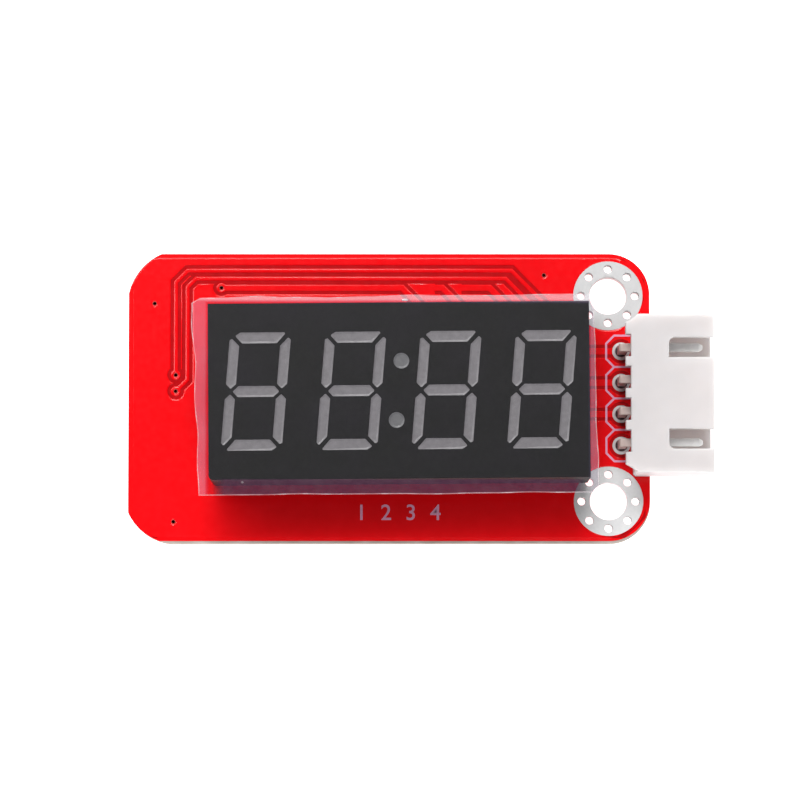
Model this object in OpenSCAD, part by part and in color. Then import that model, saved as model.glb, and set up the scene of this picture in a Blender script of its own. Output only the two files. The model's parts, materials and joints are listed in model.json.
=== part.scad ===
// Four digit seven segment clock display module.
// The digits read along X, the plug socket opens towards +X, and the display faces +Z.
// The origin is the middle of the outline, at the lowest point of the underside.

/* [Board] */
// Board that shows to the left of the display
board_left_margin = 6.7; // [4:0.1:12]
// Board that shows between the display and the plug end
board_right_margin = 5.1; // [5:0.1:10]
// Thickness of the board between its two mask surfaces
board_t = 1.6; // [1.2:0.1:2.4]
// Corner radius at the end away from the plug socket
left_corner_r = 2.5; // [1:0.1:4]
// Corner radius round the screw holes
right_corner_r = 3.3; // [1:0.1:4]
// Thickness of the solder mask over the bare laminate
mask_t = 0.03; // [0.02:0.005:0.05]
// Height of the etched copper under the mask
copper_t = 0.05; // [0.03:0.005:0.08]
// Bare laminate beside the mask, along the scored lower edge
bare_edge_w = 0.2; // [0.1:0.05:0.4]
// Bare rim between the copper and the edge of the mask
copper_margin = 0.3; // [0.2:0.05:0.6]
// Gap etched beside each track
track_gap = 0.26; // [0.15:0.01:0.35]
// Width of a signal track
track_w = 0.32; // [0.2:0.02:0.4]
// Width of a supply track
supply_track_w = 0.52; // [0.3:0.02:0.8]
// Diameter of the copper round a signal via
via_land_d = 0.8; // [0.6:0.05:1]
// Finished bore of a signal via
via_d = 0.28; // [0.2:0.02:0.4]
// Thickness of the copper plated on the wall of each hole
plating_t = 0.04; // [0.03:0.01:0.08]

/* [Screw holes] */
// Finished bore of the two screw holes
hole_d = 3; // [2:0.1:3.4]
// Distance from the plug end of the board to the hole centres
hole_inset_x = 3.34; // [3:0.02:4]
// Distance from the long edges to the hole centres
hole_inset_y = 3.4; // [3:0.02:4]
// Gap between a ring and the nearest pad of the plug socket
ring_pad_gap = 0.97; // [0.5:0.01:2]
// Outer diameter of the tinned ring round each hole
ring_d = 5.6; // [5:0.1:6]
// Number of stitching vias in each ring
ring_via_count = 8; // [4:1:10]
// Bore of a stitching via
ring_via_d = 0.65; // [0.3:0.05:0.8]
// Diameter of the circle on which the stitching vias lie
ring_via_circle_d = 4.35; // [4.2:0.05:4.5]

/* [Display] */
// Length of the display housing
display_l = 30.2; // [30:0.1:32]
// Width of the display housing
display_w = 14; // [13:0.1:15]
// Height of the display housing without its feet
display_h = 7.2; // [6:0.1:9]
// Place of the display across the board, from the board's middle
display_y = 0.05; // [-0.5:0.05:0.5]
// Turn of the display on the board, as it is soldered
display_turn = 0.47; // [-0.6:0.01:0.6]
// Height of the moulded feet under the housing
display_foot_h = 0.3; // [0.2:0.05:0.6]
// Radius of the corner that marks the first pin
first_pin_corner_r = 0.4; // [0.2:0.05:0.8]
// Wall of the housing round its open back
display_wall = 0.9; // [0.7:0.05:1]
// Depth of the open back that takes the inner board and the potting
back_pocket_h = 2.6; // [2:0.1:3.2]

/* [Digits] */
// Distance between neighbouring digits
digit_pitch = 7.54; // [7.2:0.02:7.6]
// Height of a digit
digit_h = 9.37; // [8.5:0.01:9.6]
// Width of a digit, measured square to its strokes
digit_w = 4.84; // [4.5:0.02:5.2]
// Lean of the digits to the right, in degrees
digit_lean = 5; // [0:0.5:8]
// Width of the flat segments
flat_stroke = 0.87; // [0.7:0.01:1]
// Width of the upright segments
upright_stroke = 0.8; // [0.7:0.01:1]
// Gap between the ends of two segments
segment_gap = 0.29; // [0.2:0.01:0.4]
// Cut across the outer corners of a digit
digit_corner_cut = 0.6; // [0.4:0.05:0.7]
// Rounding of the segments' corners
segment_r = 0.09; // [0.05:0.01:0.12]
// Diameter of a colon dot
colon_d = 1.25; // [1:0.05:1.4]
// Distance between the two colon dots
colon_spacing = 4.7; // [4:0.1:5.5]
// Width of a light well at the emitter, as a share of its width at the face
well_narrowing = 0.62; // [0.55:0.01:0.9]

/* [Display inside] */
// Side of an emitter die
die_side = 0.28; // [0.2:0.01:0.3]
// Height of an emitter die
die_h = 0.2; // [0.1:0.02:0.3]
// Thickness of the inner board
substrate_t = 0.8; // [0.6:0.1:1.2]
// Running room between the inner board and the housing
substrate_fit = 0.05; // [0.02:0.01:0.1]
// Depth of the potting's surface inside the back of the housing
potting_recess = 0.2; // [0.1:0.05:0.4]

/* [Display pins] */
// Pins in each of the two rows
display_pin_count = 6; // [4:1:6]
// Distance between pins in a row
display_pin_pitch = 2.54; // [2:0.01:2.54]
// Distance from the long sides of the display to its pins
display_pin_inset = 1.92; // [1.8:0.01:2.2]
// Diameter of a display pin
display_pin_d = 0.5; // [0.4:0.02:0.6]
// Length of a display pin beyond the back of the board
display_pin_tail = 1.3; // [1:0.05:1.8]
// Finished bore of a display pin hole
display_hole_d = 0.9; // [0.8:0.05:1]
// Diameter of a display pin's pad
display_pad_d = 1.7; // [1.4:0.05:1.8]

/* [Protective film] */
// Thickness of the peel-off film on the face
film_t = 0.1; // [0.05:0.01:0.2]
// Film past the left side of the display, at the top
film_left_top = 1.28; // [0.2:0.02:1.6]
// Film past the left side of the display, at the bottom
film_left_bottom = 0.78; // [0.2:0.02:1.6]
// Film past the right side of the display, at the top
film_right_top = 0.37; // [0.2:0.02:1]
// Film past the right side of the display, at the bottom
film_right_bottom = 0.64; // [0.2:0.02:1]
// Film past the top of the display, at the left
film_top_left = 0.46; // [0.2:0.02:1]
// Film past the top of the display, at the right
film_top_right = 0.56; // [0.2:0.02:1]
// Film past the bottom of the display
film_bottom = 1.1; // [0.2:0.02:1.6]
// Length of the snipped corner of the film, along the top
film_snip_l = 0.7; // [0.2:0.05:1]
// Length of the snipped corner of the film, down the side
film_snip_w = 0.43; // [0.2:0.05:1]

/* [Plug socket] */
// Depth of the socket housing, from its back to its mouth
socket_depth = 7.03; // [6:0.05:9]
// Width of the socket housing across its pins
socket_w = 12.6; // [12.4:0.02:13]
// Height of the socket housing above the board
socket_h = 5.78; // [5.4:0.02:7]
// Reach of the socket past the end of the board
socket_overhang = 4.86; // [4:0.02:5]
// Thickness of the socket's top and bottom walls
socket_wall = 0.85; // [0.6:0.05:1]
// Thickness of the socket's two side walls
socket_side_wall = 0.95; // [0.6:0.05:1]
// Thickness of the socket's back wall
socket_back_wall = 1.7; // [1.2:0.1:2.5]
// Width of a keying slot in the top wall
slot_w = 1.6; // [1:0.05:1.8]
// Shift of a keying slot from its pin, towards the middle
slot_shift = 0.16; // [0:0.02:0.3]
// Length of a keying slot, from the mouth
slot_l = 3.6; // [2:0.1:4.5]
// Radius of a keying slot's outer inside corner
slot_corner_r = 0.5; // [0.2:0.05:0.7]
// Width of the notch behind each pin
notch_w = 1.79; // [1.5:0.01:2]
// Depth of the notch behind each pin
notch_depth = 0.42; // [0.3:0.02:0.6]
// Height of the notched lip that stands out over the socket's back
socket_lip_h = 1.2; // [0.8:0.1:1.5]
// Radius of the one rounded corner at the mouth
mouth_corner_r = 0.5; // [0.1:0.05:0.6]
// Room round the screw holes' rings at the socket's back corners
ring_room = 0.12; // [0.05:0.01:0.3]

/* [Socket pins] */
// Distance between the socket's pins
socket_pin_pitch = 2.54; // [2.5:0.01:2.54]
// Side of the square pins
socket_pin_side = 0.64; // [0.5:0.02:0.7]
// Height of the pins' level stretch above the board
socket_pin_level = 3.25; // [3:0.05:3.5]
// Inner radius of the pins' bend
socket_pin_bend_r = 0.16; // [0.06:0.02:0.16]
// Chamfer on the outer corner of the bend
socket_pin_corner = 0.14; // [0.08:0.02:0.3]
// Distance of the pins' upright legs behind the socket's back face
socket_leg_set = 0.13; // [0.05:0.01:0.2]
// Distance of the pins' tips inside the mouth
socket_tip_set = 0.8; // [0.4:0.05:1.5]
// Length of the pins' tails beyond the back of the board
socket_pin_tail = 1.9; // [1.4:0.05:2.3]
// Length of the taper on each end of a pin
pin_taper = 0.3; // [0.1:0.05:0.5]
// Finished bore of a socket pin hole
socket_hole_d = 1; // [0.95:0.01:1.05]
// Diameter of a socket pin's pad on the front
socket_pad_d = 1.44; // [1.3:0.02:1.6]
// Diameter of a socket pin's pad on the back
socket_back_pad_d = 1.8; // [1.6:0.02:2]

/* [Solder] */
// Height of the solder on the front, round the socket pins
front_solder_h = 0.4; // [0.2:0.05:0.5]
// Room between the front solder and the foot of the socket housing
solder_room = 0.2; // [0.1:0.05:0.4]
// Height of the solder cones on the back
back_solder_h = 1; // [0.6:0.05:1.2]
// Solder on a pin where a cone ends
solder_film = 0.08; // [0.04:0.01:0.12]

/* [Tracks] */
// Distance from the long edge to the first row of track
track_row_inset = 1.35; // [1:0.05:1.5]
// Bare room between two rows of track, beside the etched gap
track_row_room = 0.07; // [0.04:0.01:0.1]
// Distance from the end of the board to the first column of track
track_column_inset = 3.8; // [3.5:0.1:4.2]
// Length of the outer track's sloping bends, each way
track_bend = 0.94; // [0.8:0.02:1]
// Length of the inner track's sloping bend, each way
inner_bend = 0.68; // [0.5:0.02:0.8]
// Reach of the tracks under the display
under_display_reach = 1; // [0.6:0.1:2]
// Height of the outer track's via above the board's middle
outer_via_y = 1.89; // [1.5:0.01:2]
// Height of the inner track's via above the board's middle
inner_via_y = 0.58; // [0.3:0.01:0.8]
// Where the outer track turns down, from the display's middle
outer_track_turn = 9.07; // [8.6:0.01:10]
// Distance of the supply track's via inside the inner column
supply_track_set = 2.73; // [2:0.01:4]
// Where the supply track turns down, from the display's middle
supply_track_turn = 0.24; // [0:0.01:0.5]
// Start of the short track, from the display's middle
short_track_start = 2.9; // [2.5:0.01:3]
// Where the short track turns down, from the display's middle
short_track_turn = 3.5; // [3.2:0.01:3.8]
// Start of the long track, from the display's middle
long_track_start = 5.05; // [4.8:0.01:5.5]
// Where the long track turns down, from the display's middle
long_track_turn = 7.3; // [7:0.01:7.6]
// Place of the right via, from the display's middle
right_via_x = 11.7; // [11.4:0.01:12]
// Distance from the long edge to the right via
right_via_inset = 1.73; // [1.6:0.01:1.9]
// Distance from the end of the board to the left via
left_via_inset = 2.08; // [1.8:0.01:2.4]
// Distance from the upper edge to the left via
left_via_drop = 4.02; // [3.5:0.01:5]
// Distance from the end of the board to the lower via
lower_via_inset = 3.65; // [3:0.01:5]
// Distance from the lower edge to the lower via
lower_via_rise = 1.75; // [1.4:0.01:2]

/* [Silkscreen] */
// Thickness of the printed lines
print_t = 0.02; // [0.01:0.005:0.03]
// Width of the printed lines
print_w = 0.16; // [0.1:0.01:0.2]
// Distance of the printed outline behind the pins' legs
print_set = 1.2; // [1:0.05:1.3]
// Cut across the corners of the printed outline
print_cut = 0.65; // [0.4:0.05:0.7]

/* [Driver chip] */
// Length of the driver chip's body
chip_l = 12.8; // [11:0.1:14]
// Width of the driver chip's body
chip_w = 7.5; // [6:0.1:8]
// Height of the driver chip's body
chip_h = 2.3; // [2.2:0.05:2.6]
// Gap between the chip's body and the board
chip_standoff = 0.15; // [0.1:0.01:0.2]
// Slope of the body's sides, as a share of its width
chip_draft = 0.96; // [0.92:0.01:1]
// Leads on each long side
chip_lead_count = 10; // [6:1:10]
// Distance between the leads
chip_lead_pitch = 1.27; // [1.1:0.01:1.27]
// Width over the tips of the leads
chip_span = 10.3; // [9.6:0.1:10.6]
// Width of a lead
chip_lead_w = 0.42; // [0.3:0.02:0.5]
// Thickness of a lead
chip_lead_t = 0.25; // [0.2:0.01:0.3]
// Length of a lead's foot on its pad
chip_foot_l = 0.85; // [0.6:0.05:1]
// Pad showing past each side of a foot
chip_pad_margin = 0.12; // [0.05:0.01:0.15]

/* [Chip components] */
// Length of a resistor or capacitor
chip_part_l = 1.6; // [1.4:0.1:2]
// Width of a resistor or capacitor
chip_part_w = 0.8; // [0.6:0.1:1]
// Height of a resistor
resistor_h = 0.45; // [0.3:0.05:0.6]
// Height of a capacitor
capacitor_h = 0.8; // [0.5:0.05:1]
// Length of a metal end cap
end_cap_l = 0.3; // [0.2:0.02:0.4]
// Thickness of the metal end caps
end_cap_t = 0.03; // [0.02:0.01:0.05]
// Distance between the chip components in their row
chip_part_pitch = 2.4; // [2.1:0.1:2.6]
// Distance from the plug end of the board to the row of chip components
chip_part_inset = 8.6; // [8.4:0.1:9.5]
// Pad showing past a chip component's end
terminal_reach = 0.25; // [0.15:0.01:0.35]
// Pad showing past a chip component's sides
terminal_margin = 0.05; // [0.02:0.01:0.1]

/* [Hidden] */
$fn = 64;

// Levels above the origin
skin_t = mask_t + copper_t;
core_t = board_t - 2 * skin_t;
back_z = chip_h + chip_standoff;
front_z = back_z + board_t;
shift_x = -socket_overhang / 2;

// Outline, from what the board carries
socket_pin_count = 4;
last_pin_y = (socket_pin_count - 1) / 2 * socket_pin_pitch;
hole_y = last_pin_y + socket_pad_d / 2 + ring_pad_gap + ring_d / 2;
board_w = 2 * (hole_y + hole_inset_y);
board_l = board_left_margin + display_l + board_right_margin;
hole_x = board_l / 2 - hole_inset_x;
display_x = (board_left_margin - board_right_margin) / 2;

// Socket
socket_mouth_x = board_l / 2 + socket_overhang;
socket_back_x = socket_mouth_x - socket_depth;
socket_cavity_x = socket_back_x + socket_back_wall;
socket_cavity_w = socket_w - 2 * socket_side_wall;
leg_x = socket_back_x - socket_leg_set;
socket_foot_x = leg_x + socket_pad_d / 2 + solder_room;
function socket_pin_y(i) = i * socket_pin_pitch - last_pin_y;

// Display
display_front_z = display_foot_h + display_h;
well_depth = display_h - back_pocket_h;
well_floor_z = display_foot_h + back_pocket_h;
pocket_l = display_l - 2 * display_wall;
pocket_w = display_w - 2 * display_wall;
substrate_z = well_floor_z - substrate_t;
potting_z = display_foot_h + potting_recess;

// Digits: the outline of each segment before it leans
lean = tan(digit_lean);
outer_x = digit_w / 2;
outer_y = digit_h / 2;
inner_x = outer_x - upright_stroke;
inner_y = outer_y - flat_stroke;
mid_y = flat_stroke / 2;
end_set = segment_gap / sqrt(2);
cut_x = outer_x - digit_corner_cut;
cut_y = outer_y - digit_corner_cut;
top_segment = [
    [-inner_x + end_set, inner_y],
    [-inner_x + end_set - digit_corner_cut, inner_y + digit_corner_cut],
    [-inner_x, outer_y],
    [cut_x + end_set, outer_y],
    [inner_x - end_set - flat_stroke * lean, inner_y]
];
upper_left_segment = [
    [-inner_x, inner_y - end_set],
    [-outer_x + end_set, cut_y + end_set / 2],
    [-outer_x, cut_y],
    [-outer_x, upright_stroke / 2 + end_set],
    [-outer_x + upright_stroke / 2, end_set],
    [-inner_x, upright_stroke / 2 + end_set]
];
upper_right_segment = [
    [inner_x, inner_y - end_set],
    [inner_x, upright_stroke / 2 + end_set],
    [outer_x - upright_stroke / 2, end_set],
    [outer_x, upright_stroke / 2 + end_set],
    [outer_x, cut_y],
    [outer_x - end_set, cut_y + end_set]
];
middle_segment = [
    [-inner_x - mid_y + end_set, 0],
    [-inner_x + end_set, mid_y],
    [inner_x - end_set, mid_y],
    [inner_x + mid_y - end_set, 0],
    [inner_x - end_set, -mid_y],
    [-inner_x + end_set, -mid_y]
];
SEGMENTS = [
    top_segment,
    upper_left_segment,
    upper_right_segment,
    middle_segment,
    -top_segment,
    -upper_left_segment,
    -upper_right_segment
];
digit_count = 4;
function digit_x(i) = (i - (digit_count - 1) / 2) * digit_pitch;
function colon_place(side) = [side * colon_spacing / 2 * lean, side * colon_spacing / 2];
function leaning(points) = [for (p = points) [p.x + p.y * lean, p.y]];
function middle(points) = [for (p = points) 1] * points / len(points);

// Display pins
display_row_spacing = display_w - 2 * display_pin_inset;
display_pin_places = [
    for (side = [-1, 1], i = [0 : display_pin_count - 1])
        [(i - (display_pin_count - 1) / 2) * display_pin_pitch, side * display_row_spacing / 2]
];

// Driver chip
first_display_pin_x = display_x - (display_pin_count - 1) / 2 * display_pin_pitch;
chip_x = (first_display_pin_x - board_l / 2) / 2;
chip_foot_x = chip_span / 2 - chip_foot_l;
chip_mid_z = chip_standoff + chip_h / 2;

// Chip components, in a row across the board
chip_part_x = board_l / 2 - chip_part_inset;
resistor_places = [[chip_part_x, chip_part_pitch / 2], [chip_part_x, -chip_part_pitch / 2]];
capacitor_places = [[chip_part_x, 3 * chip_part_pitch / 2], [chip_part_x, -3 * chip_part_pitch / 2]];

// Tracks on the front, from the middle of the board
signal_step = track_w + track_gap + track_row_room;
supply_step = (track_w + supply_track_w) / 2 + track_gap + track_row_room;
top_row_y = board_w / 2 - track_row_inset;
second_row_y = top_row_y - signal_step;
third_row_y = second_row_y - supply_step;
outer_column_x = -board_l / 2 + track_column_inset;
inner_column_x = outer_column_x + track_bend;
under_display_y = display_y + display_w / 2 - under_display_reach;
outer_turn_x = display_x + outer_track_turn;
inner_turn_x = outer_turn_x - track_bend / 2;
supply_start_x = inner_column_x + supply_track_set;
outer_track = [
    [outer_column_x, outer_via_y],
    [outer_column_x, top_row_y - track_bend],
    [outer_column_x + track_bend, top_row_y],
    [outer_turn_x, top_row_y],
    [outer_turn_x + top_row_y - under_display_y, under_display_y]
];
inner_track = [
    [outer_column_x, inner_via_y],
    [inner_column_x, inner_via_y + track_bend],
    [inner_column_x, second_row_y - inner_bend],
    [inner_column_x + inner_bend, second_row_y],
    [inner_turn_x, second_row_y],
    [inner_turn_x + second_row_y - under_display_y, under_display_y]
];
function third_row_track(start_x, turn_x) = [
    [start_x, third_row_y],
    [turn_x, third_row_y],
    [turn_x + third_row_y - under_display_y, under_display_y]
];
supply_track = third_row_track(supply_start_x, display_x + supply_track_turn);
short_track = third_row_track(display_x + short_track_start, display_x + short_track_turn);
long_track = third_row_track(display_x + long_track_start, display_x + long_track_turn);
SIGNAL_TRACKS = [outer_track, inner_track];
SUPPLY_TRACKS = [supply_track, short_track, long_track];
TRACK_VIAS = [outer_track[0], inner_track[0], supply_track[0]];
GROUND_VIAS = [
    [display_x + right_via_x, board_w / 2 - right_via_inset],
    [-board_l / 2 + left_via_inset, board_w / 2 - left_via_drop],
    [-board_l / 2 + lower_via_inset, -board_w / 2 + lower_via_rise]
];
VIAS = concat(TRACK_VIAS, GROUND_VIAS);

// Points along a line moved sideways, with mitred bends
function heading(a, b) = (b - a) / norm(b - a);
function sideways(v) = [-v.y, v.x];
function bend_point(points, i, reach) =
    let (
        last = len(points) - 1,
        before = sideways(heading(points[max(i - 1, 0)], points[max(i, 1)])),
        after = sideways(heading(points[min(i, last - 1)], points[min(i + 1, last)])),
        across = (before + after) / norm(before + after)
    )
    points[i] + across * reach / (across * before);
function ribbon(points, width) = concat(
    [for (i = [0 : len(points) - 1]) bend_point(points, i, width / 2)],
    [for (i = [len(points) - 1 : -1 : 0]) bend_point(points, i, -width / 2)]
);

// An outline with each corner rounded by a short arc
function corner_arc(before, corner, after, r, steps) =
    let (
        u = heading(corner, before),
        v = heading(corner, after),
        half = acos(u * v) / 2,
        centre = corner + (u + v) / norm(u + v) * r / sin(half),
        start = corner + u * r / tan(half) - centre,
        finish = corner + v * r / tan(half) - centre,
        from = atan2(start.y, start.x),
        turn = (atan2(finish.y, finish.x) - from + 3 * 180) % 360 - 180
    )
    [for (k = [0 : steps]) centre + r * [cos(from + turn * k / steps), sin(from + turn * k / steps)]];
function rounded(points, r, steps) = [
    for (i = [0 : len(points) - 1])
        each corner_arc(
            points[(i + len(points) - 1) % len(points)], points[i], points[(i + 1) % len(points)],
            r, steps
        )
];

// Places that the pieces are built from
module on_front() {
    translate([shift_x, 0, front_z]) children();
}

module on_back() {
    translate([shift_x, 0, back_z]) mirror([0, 0, 1]) children();
}

module at_display() {
    on_front() translate([display_x, display_y, 0]) rotate(display_turn) children();
}

module at_screw_hole(side) {
    translate([hole_x, side * hole_y, 0]) children();
}

module at_socket_pins() {
    for (i = [0 : socket_pin_count - 1]) {
        translate([leg_x, socket_pin_y(i), 0]) children();
    }
}

module at_display_pins() {
    for (place = display_pin_places) {
        translate([place.x, place.y, 0]) children();
    }
}

module at_display_holes() {
    translate([display_x, display_y, 0]) at_display_pins() children();
}

module at_ring_vias() {
    for (i = [0 : ring_via_count - 1]) {
        rotate(i * 360 / ring_via_count) translate([ring_via_circle_d / 2, 0, 0]) children();
    }
}

// Rounded outline in the middle of the board, drawn smaller by a margin
module rounded_outline(full_width, margin) {
    length = board_l - 2 * margin;
    width = full_width - 2 * margin;
    left_r = left_corner_r - margin;
    right_r = right_corner_r - margin;
    translate([-length / 2 + left_r, -width / 2]) square([length - left_r - right_r, width]);
    translate([-length / 2, -width / 2 + left_r]) square([left_r, width - 2 * left_r]);
    translate([length / 2 - right_r, -width / 2 + right_r]) square([right_r, width - 2 * right_r]);
    for (side = [-1, 1]) {
        translate([-length / 2 + left_r, side * (width / 2 - left_r)]) circle(left_r);
        translate([length / 2 - right_r, side * (width / 2 - right_r)]) circle(right_r);
    }
}

// Outline of the mask, which stops short of the scored lower edge
module mask_outline(margin) {
    translate([0, bare_edge_w / 2]) rounded_outline(board_w - bare_edge_w, margin);
}

// Holes through every layer of the board, wider by a margin
module board_holes(margin) {
    for (side = [-1, 1]) {
        at_screw_hole(side) {
            circle(hole_d / 2 + margin);
            at_ring_vias() circle(ring_via_d / 2 + margin);
        }
    }
    at_socket_pins() circle(socket_hole_d / 2 + margin);
    at_display_holes() circle(display_hole_d / 2 + margin);
}

// Holes of the small vias, which the back mask covers, wider by a margin
module via_holes(margin) {
    for (via = VIAS) {
        translate(via) circle(via_d / 2 + margin);
    }
}

module pad_openings(socket_pad) {
    for (side = [-1, 1]) {
        at_screw_hole(side) circle(d = ring_d);
    }
    at_socket_pins() circle(d = socket_pad);
    at_display_holes() circle(d = display_pad_d);
}

module socket_tracks(width) {
    for (i = [1 : socket_pin_count - 1]) {
        start_x = display_x + display_l / 2 - under_display_reach;
        translate([start_x, socket_pin_y(i) - width / 2]) square([leg_x - start_x, width]);
    }
}

// Copper that stands up under the front mask
module front_copper() {
    difference() {
        mask_outline(copper_margin);
        for (track = SIGNAL_TRACKS) {
            polygon(ribbon(track, track_w + 2 * track_gap));
        }
        for (track = SUPPLY_TRACKS) {
            polygon(ribbon(track, supply_track_w + 2 * track_gap));
        }
        for (via = TRACK_VIAS) {
            translate(via) circle(via_land_d / 2 + track_gap);
        }
        socket_tracks(supply_track_w + 2 * track_gap);
        at_socket_pins() circle(socket_pad_d / 2 + track_gap);
    }
    for (track = SIGNAL_TRACKS) {
        polygon(ribbon(track, track_w));
    }
    for (track = SUPPLY_TRACKS) {
        polygon(ribbon(track, supply_track_w));
    }
    for (via = TRACK_VIAS) {
        translate(via) circle(d = via_land_d);
    }
    socket_tracks(supply_track_w);
}

module board_core() {
    color("tan") translate([shift_x, 0, back_z + skin_t]) linear_extrude(core_t) {
        difference() {
            rounded_outline(board_w, 0);
            board_holes(plating_t);
            via_holes(plating_t);
        }
    }
}

module solder_mask_front() {
    color("red") on_front() {
        translate([0, 0, -skin_t]) linear_extrude(mask_t) {
            difference() {
                mask_outline(0);
                board_holes(plating_t);
                via_holes(plating_t);
                pad_openings(socket_pad_d);
            }
        }
        translate([0, 0, -copper_t]) linear_extrude(copper_t) {
            difference() {
                front_copper();
                board_holes(plating_t);
                via_holes(plating_t);
                pad_openings(socket_pad_d);
            }
        }
    }
}

module solder_mask_back() {
    color("red") on_back() {
        translate([0, 0, -skin_t]) linear_extrude(mask_t) {
            difference() {
                mask_outline(0);
                board_holes(plating_t);
                pad_openings(socket_back_pad_d);
                chip_pads_outline();
                chip_part_pads_outline();
            }
        }
        translate([0, 0, -copper_t]) linear_extrude(copper_t) {
            difference() {
                mask_outline(copper_margin);
                board_holes(plating_t);
                pad_openings(socket_back_pad_d);
                chip_pads_outline();
                chip_part_pads_outline();
            }
        }
    }
}

// Half octagon outline printed beside each socket pin
module silkscreen_front() {
    half = socket_pin_pitch / 2;
    end_x = socket_foot_x - print_w;
    color("thistle") on_front() linear_extrude(print_t) {
        for (i = [0 : socket_pin_count - 1]) {
            y = socket_pin_y(i);
            polygon(ribbon([
                [end_x, y - half],
                [leg_x - print_set + print_cut, y - half],
                [leg_x - print_set, y - half + print_cut],
                [leg_x - print_set, y + half - print_cut],
                [leg_x - print_set + print_cut, y + half],
                [end_x, y + half]
            ], print_w));
        }
    }
}

// Tinned ring on both faces, with its bore and its stitching vias plated through
module mounting_ring(side) {
    color("gainsboro") translate([shift_x, 0, back_z]) at_screw_hole(side) {
        difference() {
            union() {
                linear_extrude(skin_t) circle(d = ring_d);
                translate([0, 0, board_t - skin_t]) linear_extrude(skin_t) circle(d = ring_d);
                cylinder(h = board_t, r = hole_d / 2 + plating_t);
                at_ring_vias() cylinder(h = board_t, r = ring_via_d / 2 + plating_t);
            }
            translate([0, 0, -1]) cylinder(h = board_t + 2, d = hole_d);
            at_ring_vias() translate([0, 0, -1]) cylinder(h = board_t + 2, d = ring_via_d);
        }
    }
}

module mounting_ring_upper() {
    mounting_ring(1);
}

module mounting_ring_lower() {
    mounting_ring(-1);
}

// Plated hole with a pad on each face
module plated_hole(bore, front_pad, back_pad) {
    difference() {
        union() {
            cylinder(h = board_t, r = bore / 2 + plating_t);
            cylinder(h = skin_t, d = back_pad);
            translate([0, 0, board_t - skin_t]) cylinder(h = skin_t, d = front_pad);
        }
        translate([0, 0, -1]) cylinder(h = board_t + 2, d = bore);
    }
}

module signal_vias() {
    color("darkgoldenrod") translate([shift_x, 0, back_z + skin_t]) {
        linear_extrude(board_t - skin_t) difference() {
            via_holes(plating_t);
            via_holes(0);
        }
    }
}

module socket_pads() {
    color("silver") translate([shift_x, 0, back_z]) at_socket_pins() {
        plated_hole(socket_hole_d, socket_pad_d, socket_back_pad_d);
    }
}

module display_pads() {
    color("silver") translate([shift_x, 0, back_z]) at_display_holes() {
        plated_hole(display_hole_d, display_pad_d, display_pad_d);
    }
}

// A light well, narrowing from the face towards its emitter
module light_well(points) {
    place = middle(points);
    outline = rounded([for (p = points) p - place], segment_r, 2);
    translate([place.x, place.y, well_floor_z]) linear_extrude(well_depth, scale = 1 / well_narrowing) {
        polygon(well_narrowing * outline);
    }
}

module digit_wells(i) {
    for (segment = SEGMENTS) {
        translate([digit_x(i), 0, 0]) light_well(leaning(segment));
    }
}

module colon_wells() {
    for (side = [-1, 1]) {
        place = colon_place(side);
        translate([place.x, place.y, well_floor_z]) {
            cylinder(h = well_depth, d1 = colon_d * well_narrowing, d2 = colon_d);
        }
    }
}

module die() {
    translate([-die_side / 2, -die_side / 2, 0]) cube([die_side, die_side, die_h]);
}

module digit_dies(i) {
    for (segment = SEGMENTS) {
        place = middle(leaning(segment));
        translate([digit_x(i) + place.x, place.y, well_floor_z]) die();
    }
}

module colon_dies() {
    for (side = [-1, 1]) {
        place = colon_place(side);
        translate([place.x, place.y, well_floor_z]) die();
    }
}

// Moulded reflector with its wells, its open back and four feet
module display_housing() {
    foot_x = (display_l - display_wall) / 2;
    foot_y = (display_w - display_wall) / 2;
    color("#323232") at_display() {
        difference() {
            translate([0, 0, display_foot_h]) linear_extrude(display_h) {
                polygon(concat(
                    corner_arc(
                        [-display_l / 2, display_w / 2], [-display_l / 2, -display_w / 2],
                        [display_l / 2, -display_w / 2], first_pin_corner_r, 6
                    ),
                    [
                        [display_l / 2, -display_w / 2],
                        [display_l / 2, display_w / 2],
                        [-display_l / 2, display_w / 2]
                    ]
                ));
            }
            translate([-pocket_l / 2, -pocket_w / 2, display_foot_h - 1]) {
                cube([pocket_l, pocket_w, back_pocket_h + 1]);
            }
            for (i = [0 : digit_count - 1]) {
                digit_wells(i);
            }
            colon_wells();
        }
        for (sx = [-1, 1], sy = [-1, 1]) {
            translate([sx * foot_x, sy * foot_y, 0]) cylinder(h = display_foot_h, d = display_wall);
        }
    }
}

// Diffusing fill of one digit's seven wells
module segment_lenses(i) {
    color("#88868a") at_display() difference() {
        digit_wells(i);
        digit_dies(i);
    }
}

module segment_lenses_digit_1() {
    segment_lenses(0);
}

module segment_lenses_digit_2() {
    segment_lenses(1);
}

module segment_lenses_digit_3() {
    segment_lenses(2);
}

module segment_lenses_digit_4() {
    segment_lenses(3);
}

module colon_lenses() {
    color("#6e6e6e") at_display() difference() {
        colon_wells();
        colon_dies();
    }
}

module led_dies() {
    color("gold") at_display() {
        for (i = [0 : digit_count - 1]) {
            digit_dies(i);
        }
        colon_dies();
    }
}

module display_substrate() {
    color("seagreen") at_display() difference() {
        translate([-pocket_l / 2 + substrate_fit, -pocket_w / 2 + substrate_fit, substrate_z]) {
            cube([pocket_l - 2 * substrate_fit, pocket_w - 2 * substrate_fit, substrate_t]);
        }
        at_display_pins() translate([0, 0, substrate_z - 1]) {
            cylinder(h = substrate_t + 2, d = display_pin_d);
        }
    }
}

module potting_epoxy() {
    color("ivory") at_display() difference() {
        translate([-pocket_l / 2, -pocket_w / 2, potting_z]) {
            cube([pocket_l, pocket_w, substrate_z - potting_z]);
        }
        at_display_pins() translate([0, 0, potting_z - 1]) {
            cylinder(h = substrate_z - potting_z + 2, d = display_pin_d);
        }
    }
}

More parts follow.
